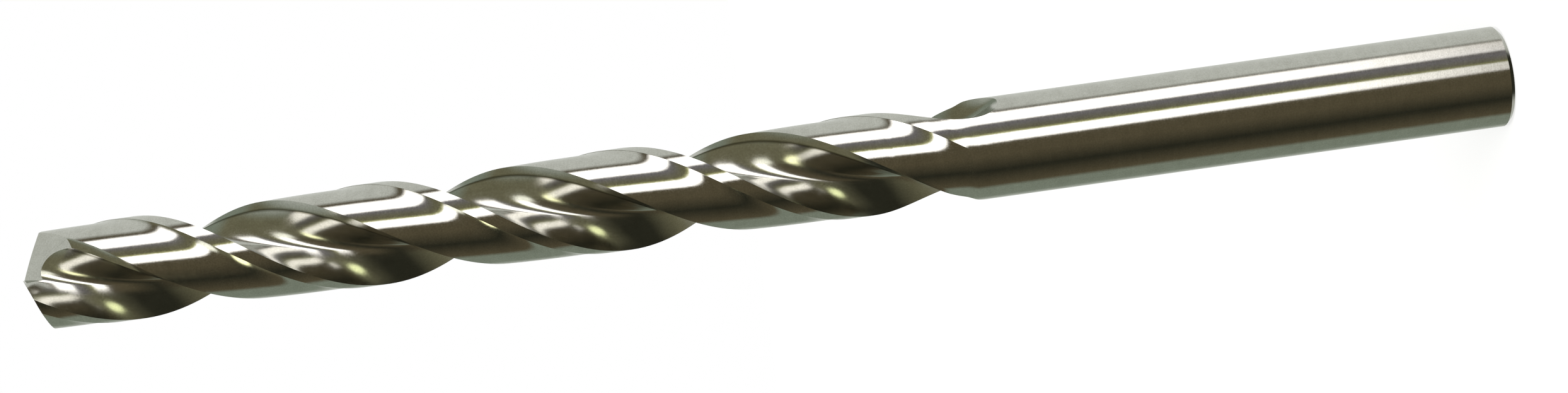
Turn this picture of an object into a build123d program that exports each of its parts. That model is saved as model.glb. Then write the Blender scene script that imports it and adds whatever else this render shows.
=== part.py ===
from build123d import *
import math
import os

# ---------------------------------------------------------------------------
# Twist drill bit, ground from one bar of high-speed steel.
# Millimetres. Z runs from the flat end of the shank up to the point, and the
# origin is the centre of the shank's end face. The two cutting lips are
# parallel to X at the point.
# ---------------------------------------------------------------------------

# Overall sizes
overall_length = 117.0        # shank face to chisel edge
drill_diameter = 8.0          # over the two margins, the size of hole it drills
shank_diameter = 7.94         # plain round part that the chuck grips
shank_chamfer = 0.35          # broken edge of the shank face
flute_length = 77.2           # chisel edge to where the flutes have run out
flute_runout = 9.0            # length over which the grinding wheel leaves the flute
land_relief_length = 74.7     # chisel edge to where the relief behind the margins stops
relief_fade = 1.1             # short cone from the shank down to the relieved lands

# Helix and section, all sizes on a section square to the axis
helix_lead = 38.3             # one turn of a flute, right hand
land_width = 5.90             # leading edge to heel, measured round the drill
margin_width = 1.1            # narrow land of full diameter behind the leading edge
margin_step = 0.04            # square foot of the margin
relief_depth = 0.15           # land surface below the margin
relief_sweep = 1.2            # hollow that climbs from the relieved land to the margin
heel_drop = 0.10              # further fall of the land towards its heel
web_thickness = 1.6           # core left between the two flutes
rake_depth = 2.7              # depth of the straight rake face from the leading edge
heel_facet = 0.75             # flat ground inside the heel
heel_facet_lean = 28.0        # degrees that this flat leans from the heel's own radius
flute_back = 1.5              # nearly straight back of the flute, below the heel's flat
flute_back_lean = 9.0         # degrees that the back leans from the heel's own radius
bevel_length = 11.4           # chisel edge to where the bevel on the heel begins
bevel_growth = 4.9            # length over which that bevel grows to its full width
bevel_width = 4.5             # degrees of land that the full bevel takes off
bevel_foot_radius = 3.35      # inner edge of the full bevel, from the axis
bevel_foot_angle = 90.0       # the same edge, from the leading edge of its own flute

# Point
point_angle = 135.0           # between the two lips
lip_clearance = 11.0          # fall of each flank behind its lip, in degrees
flank_cone_reach = 20.0       # apex of the flank's grinding cone, beyond the axis
flank_cone_angle = 40.0       # half angle of that cone
split_web = 0.46              # chisel edge left between the two notches
notch_slope = 32.0            # bottom of each notch to the drill's axis, in degrees
notch_turn = 21.5             # bottom of each notch ahead of its lip, in degrees
notch_wheel_angle = 105.0     # corner of the wheel that grinds the notch

# How the flute's wheel leaves the steel
lift_direction = 94.0         # degrees from the leading edge, so the flute fades towards the heel
lift_clear = 0.5              # the wheel's last position, outside the drill
wheel_reach = 3.0             # how far the wheel's outline is carried beyond the drill
runout_steps = 10             # positions of the wheel that its swept shape is drawn through
bevel_steps = 20              # positions that the bevel's swept shape is drawn through
bevel_entry = 0.03            # the bevel's wheel starts this far off the heel's flat
blank_overrun = 1.0           # bar left above the chisel edge for the point to be ground from
rake_shares = (0, 0.35, 0.7, 1)  # places on the rake face that its curve is drawn through

# Worked out from the sizes above
drill_radius = drill_diameter / 2
shank_radius = shank_diameter / 2
half_web = web_thickness / 2
lip_slope = 1 / math.tan(math.radians(point_angle / 2))
lip_reach = math.sqrt(drill_radius**2 - half_web**2)
lip_height = overall_length + half_web * math.tan(math.radians(lip_clearance))
twist_per_mm = 360 / helix_lead
leading_angle_at_lip = math.degrees(math.asin(half_web / drill_radius))
lip_corner_height = lip_height - lip_reach * lip_slope
runout_end = overall_length - flute_length
runout_start = runout_end + flute_runout
relief_end = overall_length - land_relief_length
bevel_start = overall_length - bevel_length
blank_top = overall_length + blank_overrun


def leading_angle(height):
    """Angle of the first leading edge at a height, so that it meets its lip at the corner."""
    return leading_angle_at_lip + (height - lip_corner_height) * twist_per_mm


def polar(radius, degrees):
    """Point of a section from its radius and its angle from the leading edge."""
    turn = math.radians(degrees)
    return Vector(radius * math.cos(turn), radius * math.sin(turn))


def arc_degrees(length):
    """Angle that a length takes up round the drill's full diameter."""
    return math.degrees(length / drill_radius)


def rake_angle(radius):
    """Angle at which the rake face crosses a radius, so that the ground lip comes out straight."""
    reach = math.sqrt(radius**2 - half_web**2)
    return (
        math.degrees(math.asin(half_web / radius))
        - leading_angle_at_lip
        - (lip_reach - reach) * lip_slope * twist_per_mm
    )


# --- Section of the land and of the flute, leading edge on the X axis ---------

heel_angle = -arc_degrees(land_width)
margin_angle = -arc_degrees(margin_width)
sweep_angle = margin_angle - arc_degrees(relief_sweep)
land_radius = drill_radius - relief_depth
heel_radius = land_radius - heel_drop

leading_corner = polar(drill_radius, 0)
margin_corner = polar(drill_radius, margin_angle)
margin_foot = polar(drill_radius - margin_step, margin_angle)
land_end = polar(land_radius, sweep_angle)
land_middle = polar(land_radius - heel_drop / 4, (sweep_angle + heel_angle) / 2)
heel_corner = polar(heel_radius, heel_angle)
next_heel_angle = heel_angle + 180
next_heel = polar(heel_radius, next_heel_angle)
facet_foot = next_heel - polar(heel_facet, next_heel_angle + heel_facet_lean)
back_direction = polar(1, next_heel_angle + flute_back_lean)
back_foot = facet_foot - back_direction * flute_back
rake_radii = [drill_radius - rake_depth * share for share in rake_shares]
rake_points = [polar(radius, rake_angle(radius)) for radius in rake_radii]


def land_edges():
    """Outline of one land: relieved surface, hollow up to the margin, and the margin."""
    relieved = ThreePointArc(heel_corner, land_middle, land_end)
    hollow = TangentArc(land_end, margin_foot, tangent=relieved % 1)
    foot = Line(margin_foot, margin_corner)
    margin = ThreePointArc(margin_corner, polar(drill_radius, margin_angle / 2), leading_corner)
    return [relieved, hollow, foot, margin]


def flute_edges():
    """Outline of one flute: rake face, round root and the flat inside the next heel."""
    rake = Spline(*rake_points)
    root = Spline(rake_points[-1], back_foot, tangents=(rake % 1, back_direction))
    back = Line(back_foot, facet_foot)
    facet = Line(facet_foot, next_heel)
    return [rake, root, back, facet]


def turned(edges, degrees):
    """The same edges turned about the axis."""
    return [edge.rotate(Axis.Z, degrees) for edge in edges]


def placed(shape, height):
    """A section's shape moved up to a height and turned to its place on the helix."""
    return shape.rotate(Axis.Z, leading_angle(height)).translate((0, 0, height))


def twisted(section, bottom, top):
    """A section carried up the helix from one height to another."""
    return Solid.extrude_linear_with_rotation(
        placed(section, bottom), (0, 0, bottom), (0, 0, top - bottom), (top - bottom) * twist_per_mm
    )


# --- Fluted length, and the bevel on the heels next to the point ---------------

half_outline = land_edges() + flute_edges()
fluted_section = Face(Wire(half_outline + turned(half_outline, 180)))
fluted_body = twisted(fluted_section, runout_start, blank_top)


def heel_bevel_outline(height):
    """Outline of the wheel that bevels the heel, which moves into the steel as the height grows."""
    growth = min((height - bevel_start) / bevel_growth, 1)
    full_foot = polar(bevel_foot_radius, bevel_foot_angle)
    stand_off = polar(bevel_entry * (1 - growth), next_heel_angle / 2)
    foot = facet_foot + (full_foot - facet_foot) * growth + stand_off
    edge = polar(heel_radius, next_heel_angle + bevel_width * growth) + stand_off
    above_the_land = edge + (edge - foot)
    outer_corners = [
        polar(drill_radius + wheel_reach, next_heel_angle),
        polar(drill_radius + wheel_reach, next_heel_angle / 2),
    ]
    return Wire(Polyline(foot, above_the_land, *outer_corners, close=True))


bevel_top = blank_top + blank_overrun
bevel_rise = (bevel_top - bevel_start) / bevel_steps
bevel_heights = [bevel_start + bevel_rise * step for step in range(bevel_steps + 1)]
bevel_tool = Solid.make_loft([placed(heel_bevel_outline(height), height) for height in bevel_heights])
fluted_body = fluted_body - bevel_tool - bevel_tool.rotate(Axis.Z, 180)

# --- Shank, and the lands between it and the full flutes -----------------------

shank = Solid.make_cylinder(shank_radius, relief_end)
shank = chamfer(shank.edges().group_by(Axis.Z)[0], shank_chamfer)

gap_middle = polar((drill_radius + heel_radius) / 2, next_heel_angle / 2)
unfluted_gap = ThreePointArc(leading_corner, gap_middle, next_heel)
half_blank = land_edges() + [unfluted_gap]
blank_section = Face(Wire(half_blank + turned(half_blank, 180)))
land_blank = twisted(blank_section, relief_end, runout_start)

# --- Flute run-out: the wheel lifts out of the flute along an arc --------------

full_lift = drill_radius - half_web + lift_clear
lift_radius = (flute_runout**2 + full_lift**2) / (2 * full_lift)


def flute_tool_outline():
    """Flute outline closed outside the drill, as the cross-section of what is ground away."""
    outer_radius = drill_radius + wheel_reach
    rim = [
        Line(next_heel, polar(outer_radius, next_heel_angle)),
        Line(polar(outer_radius, next_heel_angle), polar(outer_radius, 0)),
        Line(polar(outer_radius, 0), leading_corner),
    ]
    return Wire(flute_edges() + rim)


def lifted_section(step):
    """Tool outline part way through the run-out, moved out of the drill by the wheel's arc."""
    travel = flute_runout * step / runout_steps
    lift = lift_radius - math.sqrt(lift_radius**2 - travel**2)
    outline = flute_tool_outline().translate(polar(lift, lift_direction))
    return placed(outline, runout_start - travel)


runout_tool = Solid.make_loft([lifted_section(step) for step in range(runout_steps + 1)])
relief_cone = Solid.make_cone(shank_radius, heel_radius, relief_fade, Plane((0, 0, relief_end)))
runout_blank = shank + land_blank + relief_cone
runout_body = runout_blank - runout_tool - runout_tool.rotate(Axis.Z, 180)

# --- Point: two flanks on tilted cones, and the two notches that split the web ---


def flank_cone():
    """Inside of the cone that the first lip's flank is ground on; the lip lies along it."""
    half_point = math.radians(point_angle / 2)
    clearance = math.radians(lip_clearance)
    spread = math.radians(flank_cone_angle)
    along_lip = Vector(math.sin(half_point), 0, -math.cos(half_point))
    into_steel = Vector(
        -math.cos(half_point) * math.cos(clearance),
        math.sin(half_point) * math.sin(clearance),
        -math.sin(half_point) * math.cos(clearance),
    ).normalized()
    axis = along_lip * math.cos(spread) + into_steel * math.sin(spread)
    apex = Vector(-flank_cone_reach, half_web, lip_height + flank_cone_reach * lip_slope)
    cone_height = 2 * (overall_length + flank_cone_reach)
    base = Plane(origin=apex, z_dir=axis)
    return Solid.make_cone(0, cone_height * math.tan(spread), cone_height, base)


def notch_tool():
    """Wedge of the wheel's corner that thins the web and makes the first short inner lip."""
    slope = math.radians(notch_slope)
    turn = math.radians(notch_turn)
    bottom = Vector(
        math.sin(slope) * math.cos(turn), math.sin(slope) * math.sin(turn), -math.cos(slope)
    )
    wall_normal = Vector(-math.sin(turn), math.cos(turn), 0)
    start = wall_normal * (split_web / 2) + Vector(0, 0, overall_length)
    up_the_wall = bottom.cross(wall_normal)
    reach = 2 * drill_diameter
    corner = math.radians(notch_wheel_angle)
    frame = Plane(origin=start - bottom * drill_radius, x_dir=up_the_wall, z_dir=bottom)
    wedge = Polyline(
        (0, 0), (reach, 0), (reach * math.cos(corner), -reach * math.sin(corner)), close=True
    )
    return extrude(frame * make_face(wedge), reach)


drill = fluted_body + runout_body
for half_turn in (0, 180):
    drill = drill & flank_cone().rotate(Axis.Z, half_turn)
for half_turn in (0, 180):
    drill = drill - notch_tool().rotate(Axis.Z, half_turn)

os.makedirs("parts", exist_ok=True)
export_step(drill, "parts/twist_drill_bit.step")
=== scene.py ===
import math

import bmesh
import bpy
import numpy as np
from mathutils import Matrix, Vector


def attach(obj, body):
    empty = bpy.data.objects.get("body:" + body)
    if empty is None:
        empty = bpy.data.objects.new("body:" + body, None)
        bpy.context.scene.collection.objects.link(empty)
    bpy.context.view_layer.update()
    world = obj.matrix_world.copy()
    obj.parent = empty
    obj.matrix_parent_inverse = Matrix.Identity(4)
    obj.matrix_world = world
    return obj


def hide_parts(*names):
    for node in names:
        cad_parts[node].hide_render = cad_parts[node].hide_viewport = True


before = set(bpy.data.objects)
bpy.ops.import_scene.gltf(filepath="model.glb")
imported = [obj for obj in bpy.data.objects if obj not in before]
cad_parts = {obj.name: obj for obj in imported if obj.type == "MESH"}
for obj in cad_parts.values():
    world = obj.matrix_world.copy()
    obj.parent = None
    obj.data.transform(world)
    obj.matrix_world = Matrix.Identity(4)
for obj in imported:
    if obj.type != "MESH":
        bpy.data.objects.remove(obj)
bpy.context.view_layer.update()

# ---------------------------------------------------------------------------
# The bar: one round bar of high-speed steel, cylindrically ground. Each land is
# relieved behind a narrow margin, and the wheel leaves a shallow hollow where it
# climbs to the margin. The drill's sizes are in millimetres.
# ---------------------------------------------------------------------------
overall_length = 117.0
drill_radius = 4.0
shank_radius = 3.97
shank_chamfer = 0.35
helix_lead = 38.3
land_width = 5.90
margin_width = 1.1
margin_step = 0.02
relief_depth = 0.15
relief_sweep = 1.6
hollow_power = 3.4
heel_drop = 0.10
relief_end = 42.3
relief_fade = 1.1
half_web = 0.8
point_angle = 135.0
lip_clearance = 11.0
bar_end = overall_length + 1.0
margin_points = 6
hollow_points = 24
land_points = 22
gap_points = 20
step_turn = 1e-4
gathered_gap = 2e-5

lip_slope = 1 / math.tan(math.radians(point_angle / 2))
lip_reach = math.sqrt(drill_radius**2 - half_web**2)
lip_height = overall_length + half_web * math.tan(math.radians(lip_clearance))
twist_per_mm = 2 * math.pi / helix_lead
corner_angle = math.asin(half_web / drill_radius)
corner_height = lip_height - lip_reach * lip_slope
heel_angle = -land_width / drill_radius
margin_angle = -margin_width / drill_radius
sweep_angle = margin_angle - relief_sweep / drill_radius
land_radius = drill_radius - relief_depth
heel_radius = land_radius - heel_drop


def leading_angle(height):
    """Turn of the first leading edge: it grows by one turn a lead, and meets its lip at the corner."""
    return corner_angle + (height - corner_height) * twist_per_mm


def welded(mesh, distance):
    """Joins vertices of a mesh that lie closer together than a distance."""
    weld = bmesh.new()
    weld.from_mesh(mesh)
    bmesh.ops.remove_doubles(weld, verts=weld.verts, dist=distance)
    weld.to_mesh(mesh)
    weld.free()


def stacked(name, rings, column_finish=0):
    """Closed solid from rings[row, column]: neighbouring rings joined by quads, two ends closed flat.

    Columns gathered on one spot are welded there. column_finish numbers each column's finish.
    """
    rows, columns = rings.shape[:2]
    row = np.arange(rows - 1)[:, None] * columns
    here = np.arange(columns)[None, :]
    after = (here + 1) % columns
    quads = np.stack([row + here, row + after, row + columns + after, row + columns + here], -1)
    faces = quads.reshape(-1, 4).tolist()
    faces.append(np.arange(columns)[::-1].tolist())
    faces.append(np.arange((rows - 1) * columns, rows * columns).tolist())
    mesh = bpy.data.meshes.new(name)
    mesh.from_pydata(rings.reshape(-1, 3).tolist(), [], faces)
    finish = np.broadcast_to(column_finish, (rows - 1, columns)).ravel()
    mesh.polygons.foreach_set("material_index", np.concatenate([finish, [0, 0]]).astype(np.int32))
    welded(mesh, gathered_gap)
    solid = bpy.data.objects.new(name, mesh)
    bpy.context.scene.collection.objects.link(solid)
    return solid


def half_round():
    """Angle from the leading edge and radius of half the bar: margin, its step, hollow, land and gap.

    The hollow climbs with a power of its width, so that it ends steep under the margin's step. The
    land falls to its heel with the square of its width, and the gap is where a flute will be cut.
    """
    margin = np.linspace(0, margin_angle, margin_points)
    hollow = np.linspace(margin_angle - step_turn, sweep_angle, hollow_points)
    land = np.linspace(sweep_angle, heel_angle, land_points)[1:]
    gap = np.linspace(heel_angle, -math.pi, gap_points)[1:-1]
    climb = ((hollow - sweep_angle) / (margin_angle - sweep_angle)) ** hollow_power
    fall = ((land - sweep_angle) / (heel_angle - sweep_angle)) ** 2
    bridge = (gap - heel_angle) / (-math.pi - heel_angle)
    angle = np.concatenate([margin, hollow, land, gap])
    radius = np.concatenate([
        np.full(len(margin), drill_radius),
        land_radius + (relief_depth - margin_step) * climb,
        land_radius - heel_drop * fall,
        heel_radius + (drill_radius - heel_radius) * bridge,
    ])
    return angle, radius


half_angle, half_radius = half_round()
blank_angle = np.concatenate([half_angle, half_angle[:1] - math.pi])[::-1] + math.pi
blank_radius = np.concatenate([half_radius, half_radius[:1]])[::-1]


def bar_radius(angle, height):
    """Radius of the bar before its flutes: the shank's, which fades smoothly into the lands' outline."""
    share = np.clip((height - relief_end) / relief_fade, 0, 1)
    share = share * share * (3 - 2 * share)
    shank = np.minimum(shank_radius, shank_radius - shank_chamfer + height)
    return shank * (1 - share) + np.interp(np.mod(angle, math.pi), blank_angle, blank_radius) * share

# ---------------------------------------------------------------------------
# The two flutes, ground by a formed wheel that follows the helix and lifts out
# of the steel on an arc next to the shank. A flat runs inside each heel, and
# near the point the heel itself is bevelled.
# ---------------------------------------------------------------------------
flute_length = 77.2
flute_runout = 9.0
runout_end = overall_length - flute_length
runout_start = runout_end + flute_runout
lift_direction = math.radians(94.0)
lift_clear = 0.5
wheel_reach = 3.0
rake_depth = 2.7
heel_facet = 0.75
heel_facet_lean = math.radians(28.0)
flute_back = 1.5
flute_back_lean = math.radians(9.0)
bevel_start = 105.6
bevel_full = 110.5
bevel_turn = math.radians(4.5)
bevel_foot = (0.0, 3.35)
rake_points = 22
root_points = 26
facet_points = 9
outside_points = 8
lift_tries = 200
least_lift_share = 0.8
same_turn = 1e-6
least_cut = 1e-4


def polar(radius, angle):
    """Point or points of a section at a radius and an angle from the leading edge."""
    return np.stack([radius * np.cos(angle), radius * np.sin(angle)], -1)


def flute_outline(bevel):
    """Path of the flute's wheel in a section, from outside the leading edge round to outside the heel.

    The rake face crosses each radius where a straight lip does. The root is a cubic tangent to the
    rake and to the back. The back, the flat and the heel are joined by straight lines. As bevel
    grows from 0 to 1, the flat leans over and takes off the heel's corner.
    """
    radius = np.linspace(drill_radius, drill_radius - rake_depth, rake_points)
    reach = np.sqrt(radius**2 - half_web**2)
    hook = np.arcsin(half_web / radius) - corner_angle - (lip_reach - reach) * lip_slope * twist_per_mm
    rake = polar(radius, hook)
    heel_side = heel_angle + math.pi
    heel = polar(heel_radius, heel_side)
    facet_foot = heel - polar(heel_facet, heel_side + heel_facet_lean)
    back_way = polar(1.0, heel_side + flute_back_lean)
    back_foot = facet_foot - back_way * flute_back
    share = np.linspace(0, 1, root_points)[1:-1, None]
    chord = np.linalg.norm(back_foot - rake[-1])
    rake_way = (rake[-1] - rake[-2]) / np.linalg.norm(rake[-1] - rake[-2])
    root = (
        (2 * share**3 - 3 * share**2 + 1) * rake[-1]
        + (share**3 - 2 * share**2 + share) * chord * rake_way
        + (3 * share**2 - 2 * share**3) * back_foot
        + (share**3 - share**2) * chord * back_way
    )
    line = np.linspace(0, 1, facet_points)[:, None]
    foot = facet_foot + (np.array(bevel_foot) - facet_foot) * bevel
    edge_angle = heel_side + bevel_turn * bevel
    edge = polar(heel_radius, edge_angle)
    back = back_foot + (foot - back_foot) * line
    facet = foot + (edge - foot) * line[1:]
    outside = np.linspace(0, wheel_reach, outside_points + 1)[1:]
    before = polar(drill_radius + outside[::-1], 0.0)
    after = polar(heel_radius + outside, edge_angle)
    return np.concatenate([before, rake, root, back, facet, after])


def wheel_depth(height, lift):
    """The wheel's path at a height and a lift, and how far each of its points stands outside the bar."""
    bevel = min(max((height - bevel_start) / (bevel_full - bevel_start), 0.0), 1.0)
    path = flute_outline(bevel) + polar(lift, lift_direction)
    angle = np.arctan2(path[:, 1], path[:, 0])
    return path, np.hypot(path[:, 0], path[:, 1]) - bar_radius(angle, height)


full_lift = drill_radius - half_web + lift_clear
lift_radius = (flute_runout**2 + full_lift**2) / (2 * full_lift)
lifts = np.linspace(least_lift_share * full_lift, full_lift, lift_tries)
last_lift = min(lift for lift in lifts if wheel_depth(runout_end, lift)[1].min() > 0)
last_path, last_depth = wheel_depth(runout_end, last_lift)
tip_angle = math.atan2(*last_path[last_depth.argmin()][::-1])
tip_height = runout_start - math.sqrt(lift_radius**2 - (lift_radius - last_lift) ** 2)
gap_angle = blank_angle[blank_angle < heel_angle + math.pi + same_turn]
land_angle = blank_angle[blank_angle > heel_angle + math.pi - same_turn]


def section(height):
    """Closed section of the drill at a height, with the same columns at every height.

    Half of it runs from the leading edge through the gap before the flute, the flute and the gap
    after it to the land. The wheel's lift grows along an arc. Columns beyond the place where its
    path leaves the bar gather there. The second result is 1 on that half's flute columns, or else 0.
    """
    travel = min(max(runout_start - height, 0.0), flute_runout)
    path, depth = wheel_depth(height, lift_radius - math.sqrt(lift_radius**2 - travel**2))
    inner = np.arange(outside_points, len(path) - outside_points)
    if height > tip_height:
        inside = np.flatnonzero(depth < -least_cut)
        ends = np.array([inside[0] - 1, inside[-1]])
        share = depth[ends] / (depth[ends] - depth[ends + 1])
        crossing = path[ends] + (path[ends + 1] - path[ends]) * share[:, None]
        first, last = np.arctan2(crossing[:, 1], crossing[:, 0])
        flute = path[inner]
        flute[inner <= ends[0]] = crossing[0]
        flute[inner > ends[1]] = crossing[1]
        flute[[0, -1]] = crossing
    else:
        first = last = tip_angle
        flute = np.tile(polar(bar_radius(tip_angle, height), tip_angle), (len(inner), 1))
    before = np.minimum(gap_angle, first)
    after = np.maximum(gap_angle, last)
    land = np.maximum(land_angle, last)[:-1]
    half = np.concatenate([
        polar(bar_radius(before, height), before),
        flute,
        polar(bar_radius(after, height), after),
        polar(bar_radius(land, height), land),
    ])
    fluted = np.concatenate([before * 0, np.ones(len(flute)), after * 0, land * 0])
    return np.concatenate([half, -half]), fluted


def on_helix(sections, heights):
    """Sections turned by the leading edge's angle at their heights, and set at those heights."""
    turn = leading_angle(np.maximum(heights, straight_below))[:, None]
    x = sections[..., 0] * np.cos(turn) - sections[..., 1] * np.sin(turn)
    y = sections[..., 0] * np.sin(turn) + sections[..., 1] * np.cos(turn)
    return np.stack([x, y, np.broadcast_to(heights[:, None], x.shape)], -1)


straight_below = tip_height - 0.6
tip_full = tip_height + 2.0
chamfer_rows = [0.0, 0.08, 0.20, shank_chamfer]
shank_rows = 14
tip_rows = 22
runout_rows = 34
helix_rows = 146
heights = np.concatenate([
    chamfer_rows,
    np.linspace(shank_chamfer, straight_below, shank_rows)[1:],
    np.linspace(straight_below, tip_full, tip_rows)[1:],
    np.linspace(tip_full, runout_start, runout_rows)[1:],
    np.linspace(runout_start, bar_end, helix_rows)[1:],
])
sections = np.stack([section(height)[0] for height in heights])
flute_column = np.tile(section(bar_end)[1], 2)
drill = stacked("twist_drill", on_helix(sections, heights), flute_column)
drill.data.materials.append(bpy.data.materials.new("bar_finish"))
drill.data.materials.append(bpy.data.materials.new("flute_finish"))

# ---------------------------------------------------------------------------
# The point, ground last: each flank lies on a tilted cone that holds its lip,
# and a narrow wheel notches the web from both sides, which splits the point
# and leaves a short chisel edge.
# ---------------------------------------------------------------------------
flank_cone_reach = 20.0
flank_cone_angle = math.radians(40.0)
flank_cone_start = 0.5
flank_cone_end = 250.0
fine_turn = 18
fine_sides = 180
coarse_turn = 30
coarse_sides = 16
split_web = 0.46
notch_slope = math.radians(32.0)
notch_turn = math.radians(21.5)
notch_wheel_angle = math.radians(105.0)
notch_reach = 16.0
each_half = [np.array([1.0, 1.0, 1.0]), np.array([-1.0, -1.0, 1.0])]


def frame_about(axis):
    """Three columns: two directions square to the axis, and the axis."""
    axis = axis / np.linalg.norm(axis)
    first = np.cross([0.0, 1.0, 0.0], axis)
    first = first / np.linalg.norm(first)
    return np.stack([first, np.cross(axis, first), axis], -1)


def ground(wheel, operation):
    """One grinding pass: the drill less a wheel's solid, or kept inside it, baked into the drill's mesh."""
    wheel.data.materials.append(bpy.data.materials.new(wheel.name))
    cut = drill.modifiers.new("pass", "BOOLEAN")
    cut.object = wheel
    cut.operation = operation
    cut.solver = "MANIFOLD"
    cut.material_mode = "TRANSFER"
    graph = bpy.context.evaluated_depsgraph_get()
    baked = bpy.data.meshes.new_from_object(drill.evaluated_get(graph))
    drill.modifiers.clear()
    drill.data = baked
    bpy.data.objects.remove(wheel)


half_point = math.radians(point_angle / 2)
clearance = math.radians(lip_clearance)
along_lip = np.array([math.sin(half_point), 0, -math.cos(half_point)])
into_steel = np.array([
    -math.cos(half_point) * math.cos(clearance),
    math.sin(half_point) * math.sin(clearance),
    -math.sin(half_point) * math.cos(clearance),
])
into_steel = into_steel / np.linalg.norm(into_steel)
cone_axis = along_lip * math.cos(flank_cone_angle) + into_steel * math.sin(flank_cone_angle)
cone_apex = np.array([-flank_cone_reach, half_web, lip_height + flank_cone_reach * lip_slope])
cone_frame = frame_about(cone_axis)
lip_turn = math.atan2(along_lip @ cone_frame[:, 1], along_lip @ cone_frame[:, 0])
cone_turn = lip_turn + np.radians(np.concatenate([
    np.linspace(-fine_turn, fine_turn, fine_sides),
    np.linspace(coarse_turn, 360 - coarse_turn, coarse_sides),
]))
cone_length = np.array([flank_cone_start, flank_cone_end])[:, None]
cone_round = np.stack([
    cone_length * math.tan(flank_cone_angle) * np.cos(cone_turn),
    cone_length * math.tan(flank_cone_angle) * np.sin(cone_turn),
    np.broadcast_to(cone_length, (2, len(cone_turn))),
], -1)
flank_cone = cone_apex + cone_round @ cone_frame.T

notch_bottom = np.array([
    math.sin(notch_slope) * math.cos(notch_turn),
    math.sin(notch_slope) * math.sin(notch_turn),
    -math.cos(notch_slope),
])
wall_way = np.array([-math.sin(notch_turn), math.cos(notch_turn), 0.0])
notch_start = wall_way * split_web / 2 + np.array([0, 0, overall_length]) - notch_bottom * drill_radius
notch_up = np.cross(notch_bottom, wall_way)
notch_side = np.cross(notch_bottom, notch_up)
notch_corner = np.array([
    [0.0, 0.0],
    [notch_reach, 0.0],
    [notch_reach * math.cos(notch_wheel_angle), -notch_reach * math.sin(notch_wheel_angle)],
])
notch_section = notch_corner[:, :1] * notch_up + notch_corner[:, 1:] * notch_side
notch_wheel = notch_start + notch_section + np.array([0.0, notch_reach])[:, None, None] * notch_bottom
for half_turn in each_half:
    ground(stacked("flank_wheel", flank_cone * half_turn), "INTERSECT")
for half_turn in each_half:
    ground(stacked("notch_wheel", notch_wheel[:, ::-1] * half_turn), "DIFFERENCE")

# ---------------------------------------------------------------------------
# The finish: bright ground steel. Marks run round the bar, along the helix in
# the flutes, round the wheel on the flanks and straight in the notches. A dark
# line of painted shade is drawn where the flat inside the heel meets the flute.
# ---------------------------------------------------------------------------
crease_shade_reach = 0.16
pass_gap = 5e-5
round_stretch = 0.06
along_stretch = 0.08
sharp_edge = math.radians(11.0)
metres_per_mm = 0.001
body = drill.data
welded(body, pass_gap)
wheel_names = [finish.name for finish in body.materials]
place = np.empty(len(body.vertices) * 3)
body.vertices.foreach_get("co", place)
place = place.reshape(-1, 3)
corner_vertex = np.empty(len(body.loops), dtype=np.int32)
body.loops.foreach_get("vertex_index", corner_vertex)
face_finish = np.empty(len(body.polygons), dtype=np.int32)
body.polygons.foreach_get("material_index", face_finish)
face_corners = np.empty(len(body.polygons), dtype=np.int32)
body.polygons.foreach_get("loop_total", face_corners)
corner_finish = np.repeat(face_finish, face_corners)
point_at = place[corner_vertex]
turn_back = -leading_angle(point_at[:, 2])
untwisted = np.stack([
    point_at[:, 0] * np.cos(turn_back) - point_at[:, 1] * np.sin(turn_back),
    point_at[:, 0] * np.sin(turn_back) + point_at[:, 1] * np.cos(turn_back),
    point_at[:, 2] * along_stretch,
], -1)
ringed = point_at * np.array([round_stretch, round_stretch, 1.0])
facing = np.sign(point_at[:, 1:2])
from_apex = point_at * np.concatenate([facing, facing, np.ones_like(facing)], -1) - cone_apex
wheeled = np.stack([
    np.linalg.norm(from_apex, axis=1),
    round_stretch * from_apex @ cone_frame[:, 0],
    round_stretch * from_apex @ cone_frame[:, 1],
], -1)
side = np.sign(point_at[:, :1])
at_notch = point_at * np.concatenate([side, side, np.ones_like(side)], -1)
notched = np.stack([
    at_notch @ notch_up,
    at_notch @ wall_way,
    along_stretch * at_notch @ notch_bottom,
], -1)
finishes = ["bar_finish", "flute_finish", "flank_wheel", "notch_wheel"]
flute_kind = finishes.index("flute_finish")
kinds = np.array([finishes.index(name.split(".")[0]) for name in wheel_names])
kind = kinds[np.clip(corner_finish, 0, len(kinds) - 1)]
marks = np.choose(kind[:, None], [ringed, untwisted, wheeled, notched])
body.attributes.new("grinding_marks", "FLOAT_VECTOR", "CORNER").data.foreach_set("vector", marks.ravel())
in_flute = (kind == flute_kind).astype(float)
body.attributes.new("in_flute", "FLOAT", "CORNER").data.foreach_set("value", in_flute)
crease_at = flute_outline(0.0)[-outside_points - facet_points]
mirror = np.sign(untwisted[:, :2] @ crease_at)[:, None]
from_crease = np.linalg.norm(untwisted[:, :2] * mirror - crease_at, axis=1)
# Painted shade along the crease inside each flute: a share that falls from 1 on the crease to 0 a little
# way off, later used to darken the steel's colour there.
painted_crease_shade = np.where(kind == flute_kind, np.clip(1 - from_crease / crease_shade_reach, 0, 1), 0.0)
body.attributes.new("painted_crease_shade", "FLOAT", "CORNER").data.foreach_set("value", painted_crease_shade)
body.vertices.foreach_set("co", (place * metres_per_mm).ravel())
body.polygons.foreach_set("use_smooth", np.ones(len(body.polygons), dtype=bool))
body.set_sharp_from_angle(angle=sharp_edge)
body.update()


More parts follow.
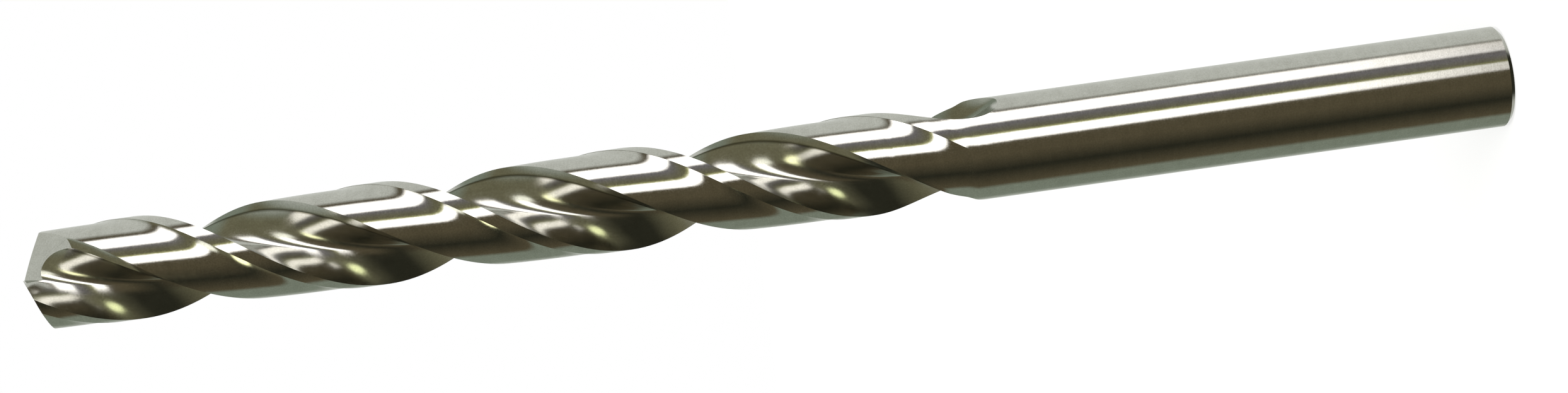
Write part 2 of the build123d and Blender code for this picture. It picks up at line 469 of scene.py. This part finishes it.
class Nodes:
    """Adds nodes to one material or world, and joins their sockets as they are made."""

    def __init__(self, tree):
        self.tree = tree
        tree.nodes.clear()

    def add(self, kind, sockets=(), **settings):
        """One node: sockets maps an input's name or number to a value or to another node's output."""
        node = self.tree.nodes.new(kind)
        for name, value in settings.items():
            setattr(node, name, value)
        for name, value in dict(sockets).items():
            if isinstance(value, bpy.types.NodeSocket):
                self.tree.links.new(value, node.inputs[name])
            else:
                node.inputs[name].default_value = value
        return node

    def average(self, share, first, second):
        """Mix of two values: the first less a share of itself, plus that share of the second."""
        return self.add("ShaderNodeMix", {0: share, 2: first, 3: second}).outputs[0]

    def blend(self, share, first, second, blend_type="MIX"):
        """Mix of two colours, in the same way, or the first plus a share of the second with ADD."""
        return self.add("ShaderNodeMix", {
            0: share, 6: first, 7: second,
        }, data_type="RGBA", blend_type=blend_type).outputs[2]


dark_steel = (0.46, 0.455, 0.415, 1)
light_steel = (0.72, 0.715, 0.675, 1)
# Painted shade: the dark colour that the steel's colour is mixed toward along each flute's crease.
crease_shade_colour = (0.16, 0.15, 0.11, 1)
flute_extra_rough = 0.06
steel = bpy.data.materials.new("bright_ground_steel")
steel.use_nodes = True
nodes = Nodes(steel.node_tree)
marks_at = nodes.add("ShaderNodeAttribute", attribute_name="grinding_marks").outputs["Vector"]
flute_at = nodes.add("ShaderNodeAttribute", attribute_name="in_flute").outputs["Fac"]
where = nodes.add("ShaderNodeTexCoord").outputs["Object"]


def grain(at, scale, detail, roughness):
    """Value of a noise pattern, read at a place."""
    return nodes.add("ShaderNodeTexNoise", {
        "Vector": at, "Scale": scale, "Detail": detail, "Roughness": roughness,
    }).outputs["Fac"]


fine_lines = grain(marks_at, 14.0, 5.0, 0.7)
broad_lines = grain(marks_at, 2.2, 3.0, 0.6)
mottle = grain(where, 900.0, 4.0, 0.65)
speck = grain(where, 8000.0, 2.0, 0.6)
lines = nodes.average(0.45, fine_lines, broad_lines)
cloudy = nodes.average(0.5, lines, mottle)
tone = nodes.average(0.4, cloudy, speck)
relief = nodes.average(0.45, lines, speck)
tint = nodes.add("ShaderNodeValToRGB", {"Fac": tone})
tint.color_ramp.elements[0].position = 0.30
tint.color_ramp.elements[0].color = dark_steel
tint.color_ramp.elements[1].position = 0.72
tint.color_ramp.elements[1].color = light_steel
# Painted shade: the steel's colour is darkened along the crease where the heel's flat meets the flute.
crease_shade_share = nodes.add("ShaderNodeAttribute", attribute_name="painted_crease_shade").outputs["Fac"]
tint_with_crease_shade = nodes.blend(crease_shade_share, tint.outputs["Color"], crease_shade_colour)
polish = nodes.add("ShaderNodeMapRange", {
    "Value": tone, "From Min": 0.3, "From Max": 0.7, "To Min": 0.06, "To Max": 0.13,
})
flute_rough = nodes.add("ShaderNodeMath", {
    0: flute_at, 1: flute_extra_rough, 2: polish.outputs[0],
}, operation="MULTIPLY_ADD")
bump = nodes.add("ShaderNodeBump", {"Strength": 0.35, "Distance": 0.000004, "Height": relief})
surface = nodes.add("ShaderNodeBsdfPrincipled", {
    "Base Color": tint_with_crease_shade, "Metallic": 1.0, "Roughness": flute_rough.outputs[0],
    "Normal": bump.outputs["Normal"],
})
nodes.add("ShaderNodeOutputMaterial", {"Surface": surface.outputs["BSDF"]})
body.materials.clear()
body.materials.append(steel)
body.polygons.foreach_set("material_index", np.zeros(len(body.polygons), dtype=np.int32))
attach(drill, "root")
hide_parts("twist_drill_bit")

# ---------------------------------------------------------------------------
# The studio: a white floor that the drill stands on, and round it two strip
# lights, three small lamps, dark cloths and pale walls, which show in its steel.
# Directions are in degrees, turned so that 0 is the camera's side.
# ---------------------------------------------------------------------------
floor_mesh = bpy.data.meshes.new("studio_floor")
floor_size = 3.0
floor_white = (0.86, 0.86, 0.86, 1)
pure_white = (1, 1, 1, 1)
floor_glow = 1.12
glow_share = 0.70
floor_mesh.from_pydata(
    [
        (-floor_size, -floor_size, 0), (floor_size, -floor_size, 0),
        (floor_size, floor_size, 0), (-floor_size, floor_size, 0),
    ],
    [],
    [(0, 1, 2, 3)],
)
floor = bpy.data.objects.new("studio_floor", floor_mesh)
bpy.context.scene.collection.objects.link(floor)
floor.visible_glossy = False
paint = bpy.data.materials.new("floor_paint")
paint.use_nodes = True
nodes = Nodes(paint.node_tree)
matt = nodes.add("ShaderNodeBsdfDiffuse", {"Color": floor_white})
glow = nodes.add("ShaderNodeEmission", {"Color": pure_white, "Strength": floor_glow})
ray = nodes.add("ShaderNodeLightPath").outputs["Is Camera Ray"]
share = nodes.add("ShaderNodeMath", {0: ray, 1: glow_share}, operation="MULTIPLY")
mix = nodes.add("ShaderNodeMixShader", {0: share.outputs[0], 1: matt.outputs[0], 2: glow.outputs[0]})
nodes.add("ShaderNodeOutputMaterial", {"Surface": mix.outputs[0]})
floor_mesh.materials.append(paint)

studio = bpy.data.worlds.new("studio")
bpy.context.scene.world = studio
studio.use_nodes = True
nodes = Nodes(studio.node_tree)
camera_turn = math.radians(31.0332)
strip_tilt = 0.30
full_turn = 360
half_circle = 180
way = nodes.add("ShaderNodeTexCoord").outputs["Generated"]
turned = nodes.add("ShaderNodeVectorRotate", {"Vector": way, "Angle": -camera_turn}, rotation_type="Z_AXIS")
split = nodes.add("ShaderNodeSeparateXYZ", {0: turned.outputs[0]})
around = nodes.add("ShaderNodeMath", {0: split.outputs["Y"], 1: split.outputs["X"]}, operation="ARCTAN2")
rise = nodes.add("ShaderNodeMath", {0: split.outputs["Z"]}, operation="ARCSINE")
along = nodes.add("ShaderNodeMath", {
    0: around.outputs[0], 1: 0.5 / math.pi, 2: 0.5,
}, operation="MULTIPLY_ADD")
leaning = nodes.add("ShaderNodeMath", {
    0: rise.outputs[0], 1: strip_tilt * 0.5 / math.pi, 2: along.outputs[0],
}, operation="MULTIPLY_ADD")
height = nodes.add("ShaderNodeMath", {
    0: rise.outputs[0], 1: 1 / math.pi, 2: 0.5,
}, operation="MULTIPLY_ADD")


def sine(degrees):
    """Height, on a sphere of radius 1, of a direction's elevation in degrees."""
    return math.sin(math.radians(degrees))


def fade(value, start, end):
    """Share that grows smoothly from 0 where a value is start to 1 where it is end."""
    return nodes.add("ShaderNodeMapRange", {
        "Value": value, "From Min": start, "From Max": end,
    }, interpolation_type="SMOOTHSTEP").outputs[0]


def ramp(fraction, stops, span):
    """Colour ramp from (degrees, colour) stops, where span degrees fill the ramp and 0 is its middle."""
    band = nodes.add("ShaderNodeValToRGB", {"Fac": fraction})
    while len(band.color_ramp.elements) > 1:
        band.color_ramp.elements.remove(band.color_ramp.elements[-1])
    band.color_ramp.elements[0].position = 0.5 + stops[0][0] / span
    band.color_ramp.elements[0].color = (*stops[0][1], 1)
    for degrees, colour in stops[1:]:
        stop = band.color_ramp.elements.new(0.5 + degrees / span)
        stop.color = (*colour, 1)
    return band.outputs["Color"]


white_wall = (0.72, 0.74, 0.70)
green_wall = (0.27, 0.31, 0.25)
olive_cloth = (0.19, 0.18, 0.11)
grey_cloth = (0.21, 0.20, 0.21)
brown_cloth = (0.12, 0.10, 0.06)
black_cloth = (0.03, 0.03, 0.02)
strip_white = (2.6, 2.55, 2.55)
warm_edge = (0.36, 0.38, 0.10)
unlit = (0.0, 0.0, 0.0)

surround = ramp(along.outputs[0], [
    (-178, white_wall), (-140, green_wall), (-104, green_wall), (-94, brown_cloth), (-54, black_cloth),
    (-18, brown_cloth), (10, brown_cloth), (34, olive_cloth), (50, grey_cloth), (86, brown_cloth),
    (96, white_wall),
], full_turn)
table_cloth = ramp(along.outputs[0], [
    (-178, white_wall), (-95, olive_cloth), (-55, black_cloth), (-12, black_cloth), (50, olive_cloth),
    (178, white_wall),
], full_turn)
upper_wall = ramp(along.outputs[0], [
    (-178, green_wall), (-110, olive_cloth), (90, olive_cloth), (110, green_wall),
], full_turn)
ceiling = ramp(height.outputs[0], [(50, green_wall), (75, white_wall)], half_circle)
strips = ramp(leaning.outputs[0], [
    (6, unlit), (11, strip_white), (25, strip_white), (28, warm_edge), (32, unlit),
    (53, unlit), (58, strip_white), (79, strip_white), (85, unlit),
], full_turn)
ceiling_share = fade(rise.outputs[0], math.radians(46), math.radians(60))
black_share = fade(rise.outputs[0], math.radians(-52), math.radians(-64))
upper_share = fade(split.outputs["Z"], sine(17), sine(26))
lower_share = fade(split.outputs["Z"], sine(-16), sine(-23))
strip_top = fade(split.outputs["Z"], sine(25), sine(18))
strip_foot = fade(split.outputs["Z"], sine(-20.5), sine(-9))
strip_length = nodes.add("ShaderNodeMath", {0: strip_top, 1: strip_foot}, operation="MULTIPLY").outputs[0]
above = nodes.blend(ceiling_share, upper_wall, ceiling)
under = nodes.blend(black_share, table_cloth, (*black_cloth, 1))
sky = nodes.blend(upper_share, surround, above)
sky = nodes.blend(lower_share, sky, under)
sky = nodes.blend(strip_length, sky, strips, blend_type="ADD")
at = nodes.add("ShaderNodeCombineXYZ", {"X": around.outputs[0], "Y": rise.outputs[0]}).outputs[0]
lamp_core = 0.5
small_lamps = [
    (-44, 25, 16, 7.5, (2.5, 2.5, 1.5)),
    (4, 24, 17, 6.5, (1.7, 1.7, 1.5)),
    (33, -38, 13, 8, (1.7, 1.8, 1.0)),
]
for azimuth, elevation, half_width, half_height, colour in small_lamps:
    centre = (math.radians(azimuth), math.radians(elevation), 0.0)
    per_half = (1 / math.radians(half_width), 1 / math.radians(half_height), 0.0)
    apart = nodes.add("ShaderNodeVectorMath", {0: at, 1: centre}, operation="SUBTRACT").outputs[0]
    apart = nodes.add("ShaderNodeVectorMath", {0: apart, 1: per_half}, operation="MULTIPLY").outputs[0]
    away = nodes.add("ShaderNodeVectorMath", {0: apart}, operation="LENGTH").outputs["Value"]
    sky = nodes.blend(fade(away, 1.0, lamp_core), sky, (*colour, 1))
ray = nodes.add("ShaderNodeLightPath").outputs["Is Camera Ray"]
seen = nodes.blend(ray, sky, pure_white)
background = nodes.add("ShaderNodeBackground", {"Color": seen, "Strength": 1.0})
nodes.add("ShaderNodeOutputWorld", {"Surface": background.outputs[0]})

soft_light = bpy.data.lights.new("soft_light", "SUN")
soft_light.energy = 2.2
soft_light.angle = math.radians(35)
light_way = Vector((-0.35, -0.30, -1.0))
sun = bpy.data.objects.new("soft_light", soft_light)
sun.rotation_euler = light_way.to_track_quat("-Z", "Y").to_euler()
sun.visible_glossy = False
bpy.context.scene.collection.objects.link(sun)

# ---------------------------------------------------------------------------
# The camera: a little above the middle of the drill and rolled on its side, so
# that the standing drill lies along the frame with its point to the left.
# ---------------------------------------------------------------------------
camera_distance = 0.22243
camera_height = 0.063568
view_turn = math.radians(31.4298)
view_drop = math.radians(1.5809)
view_roll = math.radians(98.0067)
lens = bpy.data.cameras.new("camera")
lens.sensor_width = 36.0
lens.lens = 65.11
lens.clip_start = 0.01
lens.clip_end = 50.0
camera = bpy.data.objects.new("camera", lens)
camera_place = Vector((
    camera_distance * math.cos(camera_turn), camera_distance * math.sin(camera_turn), camera_height,
))
camera.matrix_world = (
    Matrix.Translation(camera_place)
    @ Matrix.Rotation(math.pi / 2 + view_turn, 4, "Z")
    @ Matrix.Rotation(math.pi / 2 - view_drop, 4, "X")
    @ Matrix.Rotation(-view_roll, 4, "Z")
)
bpy.context.scene.collection.objects.link(camera)
bpy.context.scene.camera = camera
bpy.context.scene.view_settings.view_transform = "Standard"
